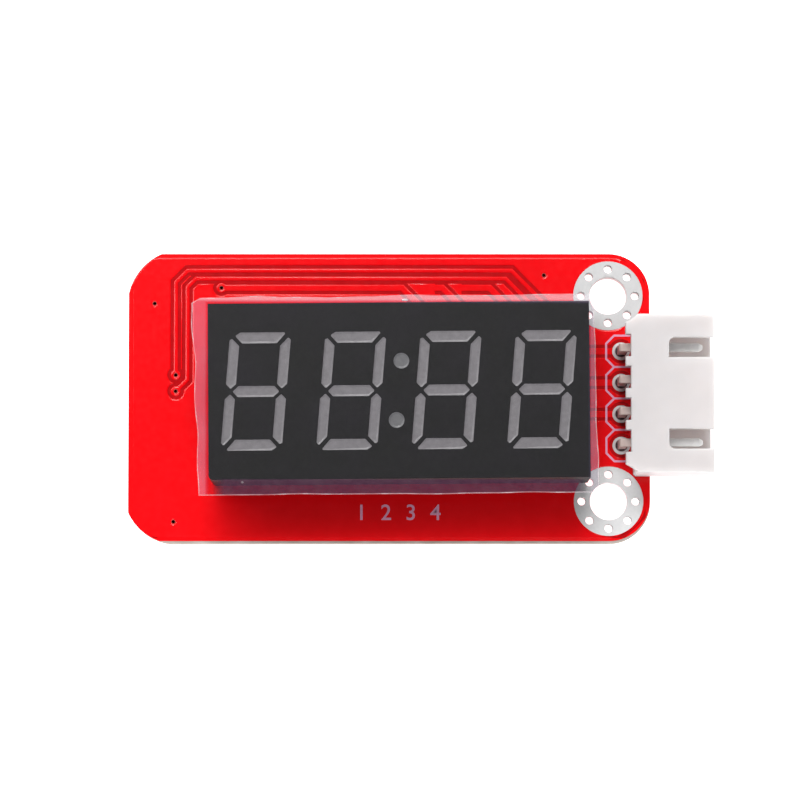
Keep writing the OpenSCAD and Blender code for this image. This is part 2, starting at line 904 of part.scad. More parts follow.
module display_pins() {
    color("silver") at_display() at_display_pins() {
        translate([0, 0, -board_t - display_pin_tail]) {
            cylinder(h = well_floor_z + board_t + display_pin_tail, d = display_pin_d);
        }
    }
}

// Solder cone on a pad, from its foot to its tip, with a hollow side
module solder_cone(foot_r, tip_r, height) {
    steps = 4;
    rotate_extrude() polygon(concat(
        [[0, 0]],
        [
            for (k = [0 : steps])
                [tip_r + (foot_r - tip_r) * pow(1 - k / steps, 2), height * k / steps]
        ],
        [[0, height]]
    ));
}

module display_solder_joints() {
    tip_r = display_pin_d / 2 + solder_film;
    color("silver") difference() {
        on_back() at_display_holes() {
            solder_cone(display_pad_d / 2 - solder_film, tip_r, back_solder_h);
            translate([0, 0, -board_t]) cylinder(h = board_t, d = display_hole_d);
        }
        at_display() at_display_pins() translate([0, 0, -board_t - display_pin_tail - 1]) {
            cylinder(h = board_t + display_pin_tail + 2, d = display_pin_d);
        }
    }
}

module protective_film() {
    half_l = display_l / 2;
    half_w = display_w / 2;
    color("mistyrose") at_display() translate([0, 0, display_front_z]) linear_extrude(film_t) {
        polygon([
            [-half_l - film_left_bottom, -half_w - film_bottom],
            [half_l + film_right_bottom, -half_w - film_bottom],
            [half_l + film_right_top, half_w + film_top_right],
            [-half_l - film_left_top + film_snip_l, half_w + film_top_left],
            [-half_l - film_left_top, half_w + film_top_left - film_snip_w]
        ]);
    }
}

// Keying slot with one rounded inside corner, on one side of the middle
module keying_slot(side) {
    x = socket_mouth_x - slot_l;
    y = side * (last_pin_y - slot_shift);
    outer_y = y + side * slot_w / 2;
    inner_y = y - side * slot_w / 2;
    translate([0, 0, socket_h - socket_wall - 0.5]) linear_extrude(socket_wall + 1) {
        polygon(concat(
            corner_arc([x + slot_l, outer_y], [x, outer_y], [x, inner_y], slot_corner_r, 8),
            [[x, inner_y], [socket_mouth_x + 1, inner_y], [socket_mouth_x + 1, outer_y]]
        ));
    }
}

// Socket moulding: keyed shroud, notched lip over the pins' legs, corners cleared for the screw holes
module socket_housing() {
    color("#dedada") on_front() difference() {
        linear_extrude(socket_h) polygon(concat(
            [
                [socket_back_x, socket_w / 2],
                [socket_back_x, -socket_w / 2],
                [socket_mouth_x, -socket_w / 2]
            ],
            corner_arc(
                [socket_mouth_x, -socket_w / 2], [socket_mouth_x, socket_w / 2],
                [socket_back_x, socket_w / 2], mouth_corner_r, 6
            )
        ));
        translate([socket_cavity_x, -socket_cavity_w / 2, socket_wall]) {
            cube([socket_depth, socket_cavity_w, socket_h - 2 * socket_wall]);
        }
        translate([socket_back_x - 1, -socket_w / 2 - 1, -1]) {
            cube([socket_foot_x - socket_back_x + 1, socket_w + 2, socket_h - socket_lip_h + 1]);
        }
        for (side = [-1, 1]) {
            keying_slot(side);
            at_screw_hole(side) translate([0, 0, -1]) {
                cylinder(h = socket_h + 2, r = ring_d / 2 + ring_room);
            }
        }
        for (i = [0 : socket_pin_count - 1]) {
            translate([socket_back_x - 1, socket_pin_y(i) - notch_w / 2, -1]) {
                cube([notch_depth + 1, notch_w, socket_h + 2]);
            }
            translate([
                socket_back_x,
                socket_pin_y(i) - socket_pin_side / 2,
                socket_pin_level - socket_pin_side / 2
            ]) {
                cube([socket_back_wall + 1, socket_pin_side, socket_pin_side]);
            }
        }
    }
}

// Square wire along X from the origin, tapered on four sides at its far end
module tapered_wire(length) {
    half = socket_pin_side / 2;
    outline = [
        [0, -half],
        [length - pin_taper, -half],
        [length, -half / 2],
        [length, half / 2],
        [length - pin_taper, half],
        [0, half]
    ];
    intersection() {
        translate([0, 0, -half]) linear_extrude(2 * half) polygon(outline);
        rotate([90, 0, 0]) translate([0, 0, -half]) linear_extrude(2 * half) polygon(outline);
    }
}

// Pin: a tail through the board, a tight bend and a level stretch into the socket
module socket_pin(i) {
    half = socket_pin_side / 2;
    bend = socket_pin_bend_r + half;
    level_l = socket_mouth_x - socket_tip_set - leg_x - bend;
    leg_l = board_t + socket_pin_tail + socket_pin_level - bend;
    color("gainsboro") on_front() translate([leg_x, socket_pin_y(i), 0]) {
        translate([bend, 0, socket_pin_level]) tapered_wire(level_l);
        translate([0, 0, socket_pin_level - bend]) rotate([0, 90, 0]) tapered_wire(leg_l);
        rotate([90, 0, 0]) linear_extrude(socket_pin_side, center = true) difference() {
            translate([-half, socket_pin_level - bend]) square(bend + half);
            translate([bend, socket_pin_level - bend]) circle(r = socket_pin_bend_r);
            translate([-half, socket_pin_level + half]) rotate(45) {
                square(socket_pin_corner * sqrt(2), center = true);
            }
        }
    }
}

module socket_pin_1() {
    socket_pin(3);
}

module socket_pin_2() {
    socket_pin(2);
}

module socket_pin_3() {
    socket_pin(1);
}

module socket_pin_4() {
    socket_pin(0);
}

module socket_solder_joints() {
    half = socket_pin_side / 2;
    tip_r = half * sqrt(2) + solder_film;
    front_tip_r = half + solder_film;
    color("silver") difference() {
        union() {
            on_back() at_socket_pins() {
                solder_cone(socket_back_pad_d / 2 - solder_film, tip_r, back_solder_h);
                translate([0, 0, -board_t]) cylinder(h = board_t, d = socket_hole_d);
            }
            on_front() at_socket_pins() {
                solder_cone(socket_pad_d / 2 - solder_film / 2, front_tip_r, front_solder_h);
            }
        }
        on_front() at_socket_pins() translate([-half, -half, -board_t - socket_pin_tail - 1]) {
            cube([socket_pin_side, socket_pin_side, board_t + socket_pin_tail + socket_pin_level]);
        }
    }
}

// Driver chip body: two halves that slope away from the parting line, with a dimple at pin one
module driver_chip() {
    dimple_d = 1;
    color("#202022") on_back() translate([chip_x, 0, chip_standoff]) difference() {
        union() {
            translate([0, 0, chip_h / 2]) linear_extrude(chip_h / 2, scale = chip_draft) {
                square([chip_w, chip_l], center = true);
            }
            mirror([0, 0, 1]) translate([0, 0, -chip_h / 2]) {
                linear_extrude(chip_h / 2, scale = chip_draft) square([chip_w, chip_l], center = true);
            }
        }
        translate([chip_w / 2 - 1.2, chip_l / 2 - 1.2, chip_h - 0.1]) cylinder(h = 1, d = dimple_d);
    }
}

// Gull wing lead: out of the parting line, down to the board and along its pad
module chip_lead() {
    root_x = chip_w / 2;
    knee_x = chip_foot_x - chip_lead_t;
    high = chip_mid_z + chip_lead_t / 2;
    rotate([90, 0, 0]) translate([0, 0, -chip_lead_w / 2]) linear_extrude(chip_lead_w) polygon([
        [root_x, high],
        [knee_x, high],
        [knee_x + chip_lead_t, high - chip_lead_t],
        [chip_foot_x + chip_lead_t * 0.7, chip_lead_t],
        [chip_span / 2, chip_lead_t],
        [chip_span / 2, 0],
        [chip_foot_x, 0],
        [chip_foot_x - chip_lead_t * 0.3, chip_lead_t * 0.4],
        [knee_x - chip_lead_t * 0.3, high - chip_lead_t],
        [root_x, high - chip_lead_t]
    ]);
}

module at_chip_leads() {
    for (side = [0, 1], i = [0 : chip_lead_count - 1]) {
        translate([chip_x, (i - (chip_lead_count - 1) / 2) * chip_lead_pitch, 0]) {
            mirror([side, 0, 0]) children();
        }
    }
}

module driver_chip_leads() {
    color("silver") on_back() at_chip_leads() chip_lead();
}

module chip_pads_outline() {
    at_chip_leads() translate([chip_foot_x - 2 * chip_pad_margin, -chip_lead_w / 2 - chip_pad_margin]) {
        square([chip_foot_l + 5 * chip_pad_margin, chip_lead_w + 2 * chip_pad_margin]);
    }
}

module driver_chip_pads() {
    color("silver") on_back() translate([0, 0, -skin_t]) linear_extrude(skin_t) chip_pads_outline();
}

// Two terminals of a chip component, along X
module at_terminals() {
    for (side = [0, 1]) {
        mirror([side, 0, 0]) children();
    }
}

module at_places(places) {
    for (place = places) {
        translate([place.x, place.y, 0]) children();
    }
}

module component_body(height) {
    inner_l = chip_part_l - 2 * end_cap_t;
    translate([-inner_l / 2, -chip_part_w / 2 + end_cap_t, end_cap_t]) {
        cube([inner_l, chip_part_w - 2 * end_cap_t, height - 2 * end_cap_t]);
    }
}

module end_cap(height) {
    translate([chip_part_l / 2 - end_cap_l, -chip_part_w / 2, 0]) difference() {
        cube([end_cap_l, chip_part_w, height]);
        translate([-end_cap_t, end_cap_t, end_cap_t]) {
            cube([end_cap_l, chip_part_w - 2 * end_cap_t, height - 2 * end_cap_t]);
        }
    }
}

module pull_up_resistors() {
    color("white") on_back() at_places(resistor_places) component_body(resistor_h);
}

// Dark glaze between a resistor's end caps
module resistor_coatings() {
    glaze_l = chip_part_l - 2 * end_cap_l;
    color("#1c1c1e") on_back() at_places(resistor_places) {
        translate([-glaze_l / 2, -chip_part_w / 2 + end_cap_t, resistor_h - end_cap_t]) {
            cube([glaze_l, chip_part_w - 2 * end_cap_t, end_cap_t]);
        }
    }
}

module resistor_end_caps() {
    color("silver") on_back() at_places(resistor_places) at_terminals() end_cap(resistor_h);
}

module capacitors() {
    color("peru") on_back() at_places(capacitor_places) component_body(capacitor_h);
}

module capacitor_end_caps() {
    color("silver") on_back() at_places(capacitor_places) at_terminals() end_cap(capacitor_h);
}

module chip_part_pads_outline() {
    pad_w = chip_part_w + 2 * terminal_margin;
    at_places(concat(resistor_places, capacitor_places)) at_terminals() {
        translate([chip_part_l / 2 - end_cap_l, -pad_w / 2]) square([end_cap_l + terminal_reach, pad_w]);
    }
}

module chip_component_pads() {
    color("silver") on_back() translate([0, 0, -skin_t]) linear_extrude(skin_t) {
        chip_part_pads_outline();
    }
}

board_core();
solder_mask_front();
solder_mask_back();
silkscreen_front();
mounting_ring_upper();
mounting_ring_lower();
signal_vias();
socket_pads();
display_pads();
display_housing();
segment_lenses_digit_1();
segment_lenses_digit_2();
segment_lenses_digit_3();
segment_lenses_digit_4();
colon_lenses();
led_dies();
display_substrate();
potting_epoxy();
display_pins();
display_solder_joints();
protective_film();
socket_housing();
socket_pin_1();
socket_pin_2();
socket_pin_3();
socket_pin_4();
socket_solder_joints();
driver_chip();
driver_chip_leads();
driver_chip_pads();
pull_up_resistors();
resistor_coatings();
resistor_end_caps();
capacitors();
capacitor_end_caps();
chip_component_pads();
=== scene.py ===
import json
import math

import bmesh
import bpy
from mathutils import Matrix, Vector


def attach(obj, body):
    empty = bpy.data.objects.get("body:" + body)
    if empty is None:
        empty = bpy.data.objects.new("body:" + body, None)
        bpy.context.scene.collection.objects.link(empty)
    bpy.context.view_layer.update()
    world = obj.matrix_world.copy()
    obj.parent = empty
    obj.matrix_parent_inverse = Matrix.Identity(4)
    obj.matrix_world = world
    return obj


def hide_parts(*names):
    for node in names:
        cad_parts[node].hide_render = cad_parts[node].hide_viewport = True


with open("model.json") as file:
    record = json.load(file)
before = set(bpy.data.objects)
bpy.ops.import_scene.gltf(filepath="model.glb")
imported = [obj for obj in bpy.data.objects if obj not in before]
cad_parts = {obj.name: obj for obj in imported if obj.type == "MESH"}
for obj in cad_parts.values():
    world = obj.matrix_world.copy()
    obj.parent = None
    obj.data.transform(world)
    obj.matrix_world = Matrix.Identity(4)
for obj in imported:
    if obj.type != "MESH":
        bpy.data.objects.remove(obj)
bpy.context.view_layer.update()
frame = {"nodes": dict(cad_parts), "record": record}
bpy.ops.object.select_all(action="DESELECT")
nodes = frame["nodes"]
MM = 0.001

# Measures of the solids that the looks follow, in millimetres
BOARD_MIDDLE = Vector((-2.43, 0, 3.25))
MASK_TOP = 4.05
MASK_UNDERSIDE = 2.45
COPPER_REACH = Vector((20.6, 11.25))
COPPER_CORNER = 30.2

# How near counts as the same place, and as one point when a mesh is joined up
SAME_PLACE = 0.002 * MM
ONE_POINT = 0.0005 * MM
# Faces that turn less than this are one flat
SAME_PLANE = math.radians(0.2)
# Cuts are exact, so that no corner is pulled on to a cut
CUT_EXACTLY = 1e-8


# Camera, as the photo was taken: nearly straight down, a little from the lower edge
TILT = math.radians(4.5)
STAND_OFF = 0.4
LOOK_AT = Vector((-1.55, -0.13, 4.05)) * MM
bpy.ops.object.camera_add(
    location=LOOK_AT + STAND_OFF * Vector((0, -math.sin(TILT), math.cos(TILT))),
    rotation=(TILT, 0, 0),
)
camera = bpy.context.object
camera.name = "photo_camera"
camera.data.lens = 223.4
camera.data.sensor_width = 36
camera.data.clip_start = 0.01
bpy.context.scene.camera = camera


# Light: soft boxes on the left, behind, overhead and on the near side, and a pale room
LAMP_DISTANCE = 0.6


def soft_box(name, toward, size, power):
    """A square light that looks at the module from the direction given."""
    place = Vector(toward).normalized() * LAMP_DISTANCE
    bpy.ops.object.light_add(type="AREA", location=place)
    lamp = bpy.context.object
    lamp.name = name
    lamp.rotation_euler = (-place).to_track_quat("-Z", "Y").to_euler()
    lamp.data.size = size
    lamp.data.energy = power


soft_box("key_box", (-0.56, 0.42, 1.0), 0.24, 1.0)
soft_box("rear_box", (-0.04, 1.0, 1.4), 0.3, 0.8)
soft_box("top_box", (-0.08, 0.5, 1.0), 0.22, 1.75)
soft_box("near_box", (0.3, -1.0, 0.95), 0.5, 1.15)


def pale_room():
    """Soft light from all round, brightest up to the horizon, dim above and on the near side."""
    room = bpy.data.worlds.new("pale_room")
    room.use_nodes = True
    tree = room.node_tree
    background = tree.nodes["Background"]
    direction = tree.nodes.new("ShaderNodeTexCoord")
    split = tree.nodes.new("ShaderNodeSeparateXYZ")
    ramp = tree.nodes.new("ShaderNodeValToRGB")
    ramp.color_ramp.elements[0].position = 0.15
    ramp.color_ramp.elements[0].color = (0.85, 0.85, 0.86, 1)
    ramp.color_ramp.elements[1].position = 0.75
    ramp.color_ramp.elements[1].color = (0.1, 0.1, 0.105, 1)
    near_side = tree.nodes.new("ShaderNodeMapRange")
    for setting, value in (
        ("From Min", -0.7), ("From Max", 0.2), ("To Min", 0.75), ("To Max", 1.0)
    ):
        near_side.inputs[setting].default_value = value
    tree.links.new(direction.outputs["Generated"], split.inputs["Vector"])
    tree.links.new(split.outputs["Z"], ramp.inputs["Fac"])
    tree.links.new(ramp.outputs["Color"], background.inputs["Color"])
    tree.links.new(split.outputs["Y"], near_side.inputs["Value"])
    tree.links.new(near_side.outputs["Result"], background.inputs["Strength"])
    bpy.context.scene.world = room


pale_room()
bpy.context.scene.view_settings.view_transform = "Standard"


# Materials
def shade(code):
    """The linear colour of a six digit screen colour."""
    parts = [((code >> shift) & 255) / 255 for shift in (16, 8, 0)]
    linear = [p / 12.92 if p <= 0.04045 else ((p + 0.055) / 1.055) ** 2.4 for p in parts]
    return (*linear, 1.0)


class Finish:
    """A principled material whose patterns read the piece's own coordinates."""

    def __init__(self, name, **sockets):
        self.material = bpy.data.materials.new(name)
        self.material.use_nodes = True
        self.tree = self.material.node_tree
        self.shader = self.tree.nodes["Principled BSDF"]
        for socket, value in sockets.items():
            self.shader.inputs[socket.replace("_", " ")].default_value = value
        self.place = self.add("ShaderNodeTexCoord").outputs["Object"]

    def add(self, kind, **settings):
        """A node of the material, with its settings."""
        node = self.tree.nodes.new(kind)
        for setting, value in settings.items():
            setattr(node, setting, value)
        return node

    def join(self, source, target):
        self.tree.links.new(source, target)

    def stretched(self, x, y, z):
        """Object coordinates scaled apart, for grain that runs one way."""
        node = self.add("ShaderNodeMapping")
        node.inputs["Scale"].default_value = (x, y, z)
        self.join(self.place, node.inputs["Vector"])
        return node.outputs["Vector"]

    def noise(self, scale, detail, harshness=0.5, along=None):
        """An even noise; the scale is in waves to the metre."""
        node = self.add("ShaderNodeTexNoise")
        node.inputs["Scale"].default_value = scale
        node.inputs["Detail"].default_value = detail
        node.inputs["Roughness"].default_value = harshness
        self.join(along or self.place, node.inputs["Vector"])
        return node.outputs["Fac"]

    def axis(self, name):
        """The place along one axis, in metres."""
        node = self.add("ShaderNodeSeparateXYZ")
        self.join(self.place, node.inputs["Vector"])
        return node.outputs[name]

    def reckon(self, kind, first, second=0.0):
        """One step of arithmetic on two values or outputs."""
        node = self.add("ShaderNodeMath", operation=kind)
        for socket, value in zip(node.inputs, (first, second)):
            if isinstance(value, (int, float)):
                socket.default_value = value
            else:
                self.join(value, socket)
        return node.outputs["Value"]

    def span(self, value, low, high, to_low=0.0, to_high=1.0):
        """A value that runs from to_low to to_high while another runs from low to high."""
        node = self.add("ShaderNodeMapRange")
        for name, setting in (
            ("From Min", low), ("From Max", high), ("To Min", to_low), ("To Max", to_high)
        ):
            node.inputs[name].default_value = setting
        self.join(value, node.inputs["Value"])
        return node.outputs["Result"]

    def ramp(self, value, *stops):
        """Colours along a value, each stop with its place."""
        node = self.add("ShaderNodeValToRGB")
        while len(node.color_ramp.elements) < len(stops):
            node.color_ramp.elements.new(0.5)
        for element, (place, colour) in zip(node.color_ramp.elements, stops):
            element.position = place
            element.color = colour
        self.join(value, node.inputs["Fac"])
        return node.outputs["Color"]

    def mottled(self, value, dark, light):
        """Two screen colours that run into each other along a noise."""
        return self.ramp(value, (0.3, shade(dark)), (0.7, shade(light)))

    def blend(self, factor, first, second):
        """One colour that gives way to another."""
        node = self.add("ShaderNodeMix", data_type="RGBA")
        factor_socket, first_socket, second_socket = (node.inputs[i] for i in (0, 6, 7))
        self.join(factor, factor_socket)
        self.join(first, first_socket)
        self.join(second, second_socket)
        return node.outputs[2]

    def colour(self, source):
        self.join(source, self.shader.inputs["Base Color"])

    def gloss(self, value, low, high):
        """Roughness that wanders between two values."""
        self.join(self.span(value, 0.3, 0.7, low, high), self.shader.inputs["Roughness"])

    def bump(self, height, depth, strength=1.0):
        node = self.add("ShaderNodeBump")
        node.inputs["Distance"].default_value = depth
        node.inputs["Strength"].default_value = strength
        self.join(height, node.inputs["Height"])
        self.join(node.outputs["Normal"], self.shader.inputs["Normal"])


def mask_finish():
    """Glossy red solder mask, deeper between the tracks where no copper lifts it, and painted shade
    there.
    """
    finish = Finish("red_solder_mask", Specular_IOR_Level=0.3)
    from_middle = [
        finish.reckon("ABSOLUTE", finish.reckon("SUBTRACT", finish.axis(axis), middle * MM))
        for axis, middle in zip("XYZ", BOARD_MIDDLE)
    ]
    across, along, height = from_middle
    corner = finish.reckon("ADD", along, across)
    within = finish.reckon("MINIMUM", *[
        finish.span(reach, (limit + 0.05) * MM, limit * MM)
        for reach, limit in ((across, COPPER_REACH.x), (along, COPPER_REACH.y))
    ])
    within = finish.reckon(
        "MINIMUM", within, finish.span(corner, (COPPER_CORNER + 0.05) * MM, COPPER_CORNER * MM)
    )
    # Between the tracks: the mask's own deeper red over bare laminate, and painted shade for the
    # dim gaps
    gap_tone_and_shade = finish.reckon(
        "MULTIPLY", finish.span(height, 0.752 * MM, 0.775 * MM, 1, 0), within
    )
    mottle = finish.noise(900, 4)
    high = finish.mottled(mottle, 0xF6040E, 0xFC0813)
    low = finish.mottled(mottle, 0xB4050C, 0xC40810)
    finish.colour(finish.blend(gap_tone_and_shade, high, low))
    finish.gloss(finish.noise(2500, 3), 0.13, 0.2)
    weave = finish.noise(1500, 2, along=finish.stretched(1, 6, 1))
    finish.bump(finish.reckon("ADD", weave, finish.noise(6000, 2)), 0.003 * MM, 0.4)
    return finish.material


def laminate_finish():
    """Routed edge of the glass fibre board, in pale layers."""
    finish = Finish("glass_fibre_edge", Roughness=0.7)
    layers = finish.noise(1000, 3, along=finish.stretched(0.6, 0.6, 9))
    finish.colour(finish.ramp(
        layers, (0.3, shade(0xA89E92)), (0.5, shade(0xB6AEA4)), (0.7, shade(0xC6C0B8))
    ))
    finish.bump(layers, 0.03 * MM, 0.6)
    return finish.material


def print_finish():
    """Screen printed ink that lets a little of the red through."""
    finish = Finish("printed_ink", Roughness=0.6, Specular_IOR_Level=0.15)
    speckle = finish.noise(14000, 3, 0.6)
    finish.colour(finish.mottled(speckle, 0xE496BC, 0xF4B8D2))
    finish.bump(speckle, 0.004 * MM, 0.4)
    return finish.material


def metal_finish(name, dark, light, low, high, metallic=1.0):
    """Copper or a bare die, with a wandering tone and shine."""
    finish = Finish(name, Metallic=metallic)
    cloud = finish.noise(4000, 4)
    finish.colour(finish.mottled(cloud, dark, light))
    finish.gloss(finish.noise(6800, 3), low, high)
    finish.bump(cloud, 0.004 * MM, 0.6)
    return finish.material


def ring_finish():
    """Levelled tin, painted lighter on the lower ring and its side of the board, where it lies in
    shade.
    """
    finish = Finish("levelled_tin", Metallic=0.1)
    cloud = finish.noise(4000, 4)
    # Painted light: the lower ring, which lies in shade, gets a lighter tin than the upper ring
    lower = finish.span(finish.axis("Y"), -4 * MM, -6 * MM)
    darker_tone = finish.mottled(cloud, 0xC6C6C6, 0xCCCCCC)
    painted_light_tin = finish.mottled(cloud, 0xE2E2E2, 0xE8E8E8)
    finish.colour(finish.blend(lower, darker_tone, painted_light_tin))
    finish.gloss(finish.noise(6800, 3), 0.45, 0.6)
    finish.bump(cloud, 0.0008 * MM, 0.6)
    return finish.material


def pin_finish():
    """Tinned wire, with a painted reflection of the red board at the bends and painted light inside
    the socket.
    """
    finish = Finish("tinned_wire")
    cloud = finish.noise(900, 3)
    # Painted light on the stretch inside the socket, where the pins lie in shade, and a painted
    # pink reflection on the bends
    inside = finish.span(finish.axis("X"), 17.6 * MM, 18.4 * MM)
    painted_red_reflection = finish.mottled(cloud, 0xBCA49C, 0xD2C0BA)
    bright = finish.mottled(cloud, 0xF6F6F4, 0xFCFCFA)
    finish.colour(finish.blend(inside, painted_red_reflection, bright))
    finish.gloss(cloud, 0.26, 0.36)
    return finish.material


def solder_finish():
    """Solder, near white on the pads, partly a painted reflection, and painted dark up against a
    pin.
    """
    finish = Finish("bright_solder", Metallic=0.15)
    # Painted dark reflection and shade on the upper part of the fillet; the near-white foot is
    # partly a painted reflection
    painted_dark_upper = finish.span(finish.axis("Z"), 4.17 * MM, 4.25 * MM)
    cloud = finish.noise(1800, 4)
    bright = finish.mottled(cloud, 0xE4E4E4, 0xF6F6F6)
    darker_tone = finish.mottled(cloud, 0x1C1C20, 0x3C3C42)
    finish.colour(finish.blend(painted_dark_upper, bright, darker_tone))
    finish.gloss(finish.noise(3000, 3), 0.14, 0.26)
    finish.bump(cloud, 0.004 * MM, 0.6)
    return finish.material


def moulded_finish(name, dark, light, low, high, grain=3000, depth=0.01, **sockets):
    """Moulded plastic, glaze or ceramic with a fine texture."""
    finish = Finish(name, **sockets)
    cloud = finish.noise(grain, 4)
    finish.colour(finish.mottled(cloud, dark, light))
    finish.gloss(finish.noise(grain * 2.1, 3), low, high)
    finish.bump(finish.noise(grain * 4, 3, 0.6), depth * MM, 0.5)
    return finish.material


def film_finish():
    """Clear film, a little hazy, with painted glare past the top and sides, painted shadow past the
    foot, clear on its face.
    """
    finish = Finish("hazy_film_and_painted_glare", Specular_IOR_Level=0.4)
    haze = finish.noise(260, 4, 0.6)
    # Painted glare on the overhang at the top and sides
    past_top = finish.span(finish.axis("Y"), 6.9 * MM, 7.3 * MM, 0, 0.6)
    past_left = finish.span(finish.axis("X"), -16.6 * MM, -17.0 * MM, 0, 0.32)
    past_right = finish.span(finish.axis("X"), 13.3 * MM, 13.6 * MM, 0, 0.3)
    # Painted shadow: a mauve tint and more cover over the foot, where the display shades the board
    # below
    past_foot = finish.reckon(
        "MULTIPLY", finish.span(finish.axis("Y"), -6.95 * MM, -7.05 * MM),
        finish.reckon(
            "MULTIPLY", finish.span(finish.axis("X"), -16.4 * MM, -15.4 * MM),
            finish.span(finish.axis("X"), 13.2 * MM, 12.4 * MM),
        ),
    )
    glare = finish.reckon("MAXIMUM", finish.reckon("MAXIMUM", past_top, past_left), past_right)
    cloud = finish.reckon("ADD", glare, finish.span(haze, 0.3, 0.7, 0.0, 0.06))
    pale = finish.ramp(
        cloud, (0, shade(0x1C1C1E)), (0.2, shade(0x605070)),
        (0.36, shade(0xB0A0B8)), (0.6, shade(0xEAE2EA)),
    )
    speckle = finish.noise(5000, 3, 0.6)
    painted_shadow_tint = finish.mottled(speckle, 0x3E2238, 0x54324A)
    finish.colour(finish.blend(past_foot, pale, painted_shadow_tint))
    finish.gloss(finish.noise(1200, 3), 0.2, 0.35)
    # More cover under the painted glare and the painted shadow
    cover = finish.reckon(
        "MAXIMUM", finish.span(cloud, 0, 0.6, 0.04, 0.2), finish.span(past_foot, 0, 1, 0, 0.55)
    )
    finish.join(cover, finish.shader.inputs["Alpha"])
    finish.bump(haze, 0.05 * MM, 0.4)
    return finish.material


def film_edge_finish():
    """Cut rim of the film, which scatters light along its length, pale as a painted highlight."""
    finish = Finish("film_rim", Roughness=0.35)
    streak = finish.noise(700, 4, 0.6)
    finish.colour(finish.mottled(streak, 0xC8B4BE, 0xF0E6EA))
    finish.join(finish.span(streak, 0.3, 0.7, 0.12, 0.4), finish.shader.inputs["Alpha"])
    return finish.material


FINISHES = {
    "laminate": laminate_finish(),
    "red_mask": mask_finish(),
    "white_print": print_finish(),
    "tinned_copper": ring_finish(),
    "bare_copper": metal_finish("plated_copper", 0xA8302C, 0xC04A40, 0.4, 0.6, metallic=0.4),
    "black_housing": moulded_finish(
        "black_moulding", 0x0A0A0A, 0x0F0F0F, 0.42, 0.55, 3000, 0.004, Specular_IOR_Level=0.25
    ),
    "grey_lens": moulded_finish("diffusing_fill", 0x726F72, 0x7E7B7E, 0.3, 0.45, 3000, 0.003),
    "dark_lens": moulded_finish("colon_fill", 0x626264, 0x6C6C6E, 0.3, 0.45, 3000, 0.003),
    "emitter": metal_finish("emitter_die", 0xC09A40, 0xD8B860, 0.3, 0.5),
    "inner_board": moulded_finish("inner_laminate", 0x1D5A30, 0x24683A, 0.4, 0.6),
    "potting": moulded_finish("cast_epoxy", 0xD2C8B2, 0xE0D8C6, 0.15, 0.3),
    "pin_metal": pin_finish(),
    "solder": solder_finish(),
    "clear_film": film_finish(),
    "white_nylon": moulded_finish(
        "natural_nylon", 0xCECACA, 0xD4D0D0, 0.4, 0.5, 300, 0.003,
        Subsurface_Weight=0.7, Subsurface_Scale=0.0016, Subsurface_Radius=(1.0, 0.92, 0.86),
    ),
    "chip_epoxy": moulded_finish("moulding_compound", 0x1E1E20, 0x26262A, 0.5, 0.65, 8000, 0.02),
    "white_ceramic": moulded_finish("fired_alumina", 0xDAD8D2, 0xE8E6E2, 0.5, 0.65),
    "resistor_glaze": moulded_finish("black_glaze", 0x101012, 0x1A1A1C, 0.12, 0.25),
    "tan_ceramic": moulded_finish("fired_ceramic", 0x9A7450, 0xAC865E, 0.35, 0.5),
}


def dress(piece, slot):
    """Gives an object one finish in place of what it came with."""
    piece.data.materials.clear()
    piece.data.materials.append(FINISHES[slot])


for part in frame["record"]["subparts"]:
    dress(nodes[part["node"]], part["material_slot"])


# Making
def start_edit(piece, mode="FACE"):
    """Opens one piece in edit mode, with nothing selected."""
    bpy.ops.object.select_all(action="DESELECT")
    piece.select_set(True)
    bpy.context.view_layer.objects.active = piece
    bpy.ops.object.mode_set(mode="EDIT")
    bpy.ops.mesh.select_mode(type=mode)
    bpy.ops.mesh.select_all(action="DESELECT")


def pick(piece, kind, wanted):
    """Selects the faces, edges or vertices that fit, in edit mode."""
    form = bmesh.from_edit_mesh(piece.data)
    for item in getattr(form, kind):
        item.select_set(bool(wanted(item)))
    form.select_flush_mode()
    bmesh.update_edit_mesh(piece.data)


def end_edit():
    """Back to object mode."""
    bpy.ops.object.mode_set(mode="OBJECT")


def smooth(piece, angle=32):
    """Smooth shading, with a crease where faces meet at more than the angle, in degrees."""
    bpy.ops.object.select_all(action="DESELECT")
    piece.select_set(True)
    bpy.context.view_layer.objects.active = piece
    bpy.ops.object.shade_smooth_by_angle(angle=math.radians(angle))


# The board's left corners, cut deeper than the solid's: centre, radius and angles of each arc
CORNER_ARCS = ((-18.9, 7.45, 4.65, range(116, 180, 8)), (-19.5, -7.43, 4.31, range(206, 264, 8)))


def trim_corners():
    """Cuts what is selected along the arcs, a short straight at a time, in edit mode."""
    for x, y, radius, angles in CORNER_ARCS:
        for angle in angles:
            facing = Vector((math.cos(math.radians(angle)), math.sin(math.radians(angle)), 0))
            bpy.ops.mesh.select_all(action="SELECT")
            bpy.ops.mesh.bisect(
                plane_co=(Vector((x, y, 0)) + facing * radius) * MM, plane_no=facing,
                clear_outer=True, use_fill=True, threshold=CUT_EXACTLY,
            )


def joined_copy(node, name, trimmed=False):
    """A CAD node's shape with its loose triangles joined up, and, when asked, its left corners
    trimmed.
    """
    piece = bpy.data.objects.new(name, nodes[node].data.copy())
    bpy.context.scene.collection.objects.link(piece)
    start_edit(piece)
    bpy.ops.mesh.customdata_custom_splitnormals_clear()
    bpy.ops.mesh.select_all(action="SELECT")
    bpy.ops.mesh.remove_doubles(threshold=ONE_POINT)
    if trimmed:
        trim_corners()
    return piece


